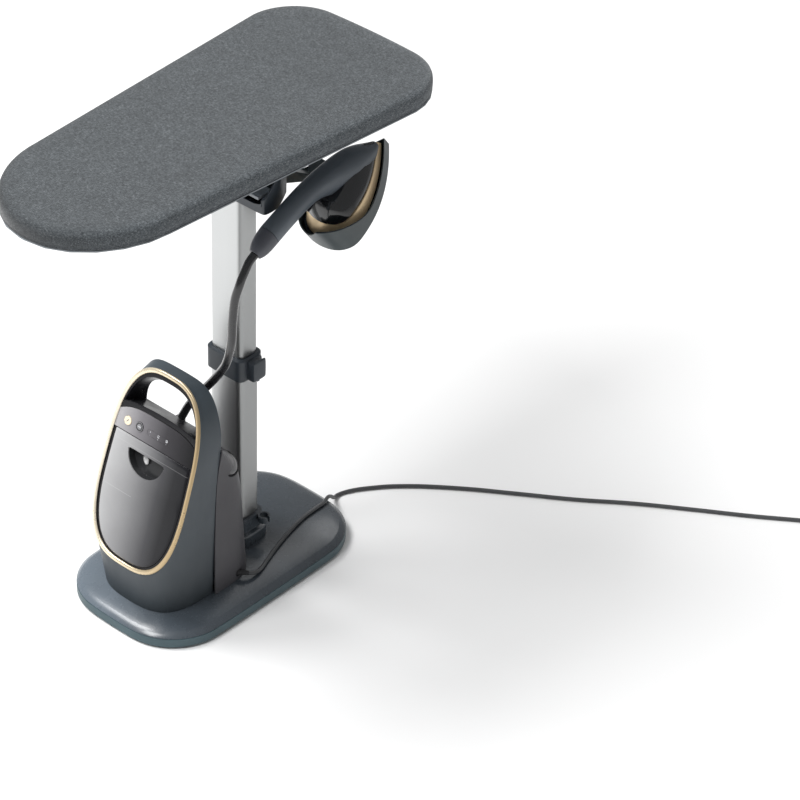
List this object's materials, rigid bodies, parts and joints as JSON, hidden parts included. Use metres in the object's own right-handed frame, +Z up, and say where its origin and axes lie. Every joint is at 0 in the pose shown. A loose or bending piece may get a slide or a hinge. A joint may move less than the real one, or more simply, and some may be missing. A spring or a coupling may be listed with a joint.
{
  "type": "ironing system",
  "caption": "Free-standing ironing system: steam console and height column on a base, tilting padded board, steam iron in a cradle, hose and mains cord.",
  "frame": {"origin": "on the floor, under the middle of the board's outline", "axes": "+Z up, -Y towards the console's front and the board's nose, +X towards the side that carries the iron"},
  "size_m": [1.0128, 1.3383, 0.912],
  "materials": {
    "housing_blue": "satin dark blue grey",
    "housing_grey": "satin warm dark grey",
    "base_blue": "satin blue grey",
    "tray_teal": "satin dark teal",
    "black_plastic": "satin black",
    "black_gloss": "glossy black",
    "gold_metal": "satin champagne gold",
    "satin_aluminium": "satin",
    "steel": "plain",
    "mesh_steel": "plain",
    "boiler_metal": "plain",
    "smoky_tank": "smoky see-through",
    "rubber": "matte",
    "handle_blue": "satin blue grey",
    "cradle_green": "satin dark grey green",
    "board_fabric": "heathered woven",
    "foam_grey": "open foam",
    "frame_grey": "satin",
    "pcb_green": "matte",
    "cord_grey": "satin"
  },
  "bodies": {
    "base": {"base_tray": "tray_teal", "base_cover": "base_blue", "ballast_plate": "steel", "foot_1": "rubber", "foot_2": "rubber", "foot_3": "rubber", "foot_4": "rubber", "column_socket": "housing_blue", "outer_tube": "satin_aluminium", "collar": "housing_blue", "guide_bush": "black_plastic", "lever_pin": "steel", "front_housing": "housing_blue", "rear_housing": "housing_grey", "trim_ring": "gold_metal", "handle_liner": "black_plastic", "control_panel": "housing_blue", "indicator_strip": "black_gloss", "circuit_board": "pcb_green", "tank_bay": "black_plastic", "boiler": "boiler_metal", "pump": "black_plastic", "hose_gland": "black_plastic", "cord_gland": "black_plastic", "mains_cord": "cord_grey", "cord_coil": "cord_grey", "mains_plug": "black_plastic", "steam_hose": "rubber"},
    "height_lever": {"height_lever": "housing_grey"},
    "power_button": {"power_button": "gold_metal"},
    "mode_button": {"mode_button": "black_plastic"},
    "tank": {"water_tank": "smoky_tank", "tank_cap": "black_plastic", "tank_valve": "black_plastic"},
    "descale_cap": {"descale_cap": "housing_grey"},
    "column": {"inner_tube": "satin_aluminium", "guide_shoe": "black_plastic", "head_housing": "housing_blue", "head_block": "satin_aluminium", "hinge_pin": "steel", "cradle_arm": "cradle_green", "iron_cradle": "cradle_green", "cradle_pad": "rubber"},
    "tilt_lever": {"tilt_lever": "housing_grey"},
    "board": {"board_frame": "frame_grey", "board_spine": "frame_grey", "board_bracket_left": "housing_grey", "board_bracket_right": "housing_grey", "mesh_plate": "mesh_steel", "foam_pad": "foam_grey", "board_cover": "board_fabric"},
    "iron": {"soleplate": "satin_aluminium", "iron_skirt": "black_gloss", "iron_band": "gold_metal", "iron_body": "black_gloss", "iron_handle": "handle_blue", "iron_boot": "black_plastic"},
    "steam_trigger": {"steam_trigger": "black_plastic"}
  },
  "joints": [
    {"name": "height_slide", "type": "slide", "parent": "base", "child": "column", "axis": [0, 0, 1], "range_m": [-0.24, 0.05], "deforming": ["steam_hose"]},
    {"name": "height_lever_hinge", "type": "hinge", "parent": "base", "child": "height_lever", "pos_m": [0, 0.1022, 0.401], "axis": [1, 0, 0], "range_deg": [0, 25], "stiffness_Nm_per_rad": 0.2},
    {"name": "power_press", "type": "slide", "parent": "base", "child": "power_button", "axis": [0, 0.9397, -0.342], "range_m": [0, 0.0015], "stiffness_N_per_m": 600},
    {"name": "mode_press", "type": "slide", "parent": "base", "child": "mode_button", "axis": [0, 0.9397, -0.342], "range_m": [0, 0.0015], "stiffness_N_per_m": 600},
    {"name": "tank_slide", "type": "slide", "parent": "base", "child": "tank", "axis": [0, -0.9397, 0.342], "range_m": [0, 0.13]},
    {"name": "descale_turn", "type": "hinge", "parent": "base", "child": "descale_cap", "pos_m": [0.0765, -0.029, 0.278], "axis": [0.7103, 0.287, 0.6428], "range_deg": [0, 90]},
    {"name": "tilt_lever_hinge", "type": "hinge", "parent": "column", "child": "tilt_lever", "pos_m": [0, 0.06, 0.789], "axis": [-1, 0, 0], "range_deg": [0, 12], "stiffness_Nm_per_rad": 0.5},
    {"name": "board_tilt", "type": "hinge", "parent": "column", "child": "board", "pos_m": [0, 0.0648, 0.838], "axis": [1, 0, 0], "range_deg": [0, 30]},
    {"name": "iron_lift", "type": "slide", "parent": "column", "child": "iron", "axis": [0, -0.5976, 0.8018], "range_m": [0, 0.045], "deforming": ["steam_hose"]},
    {"name": "trigger_press", "type": "hinge", "parent": "iron", "child": "steam_trigger", "pos_m": [0.125, 0.12649, 0.76767], "axis": [-1, 0, 0], "range_deg": [0, 5], "stiffness_Nm_per_rad": 0.05}
  ]
}
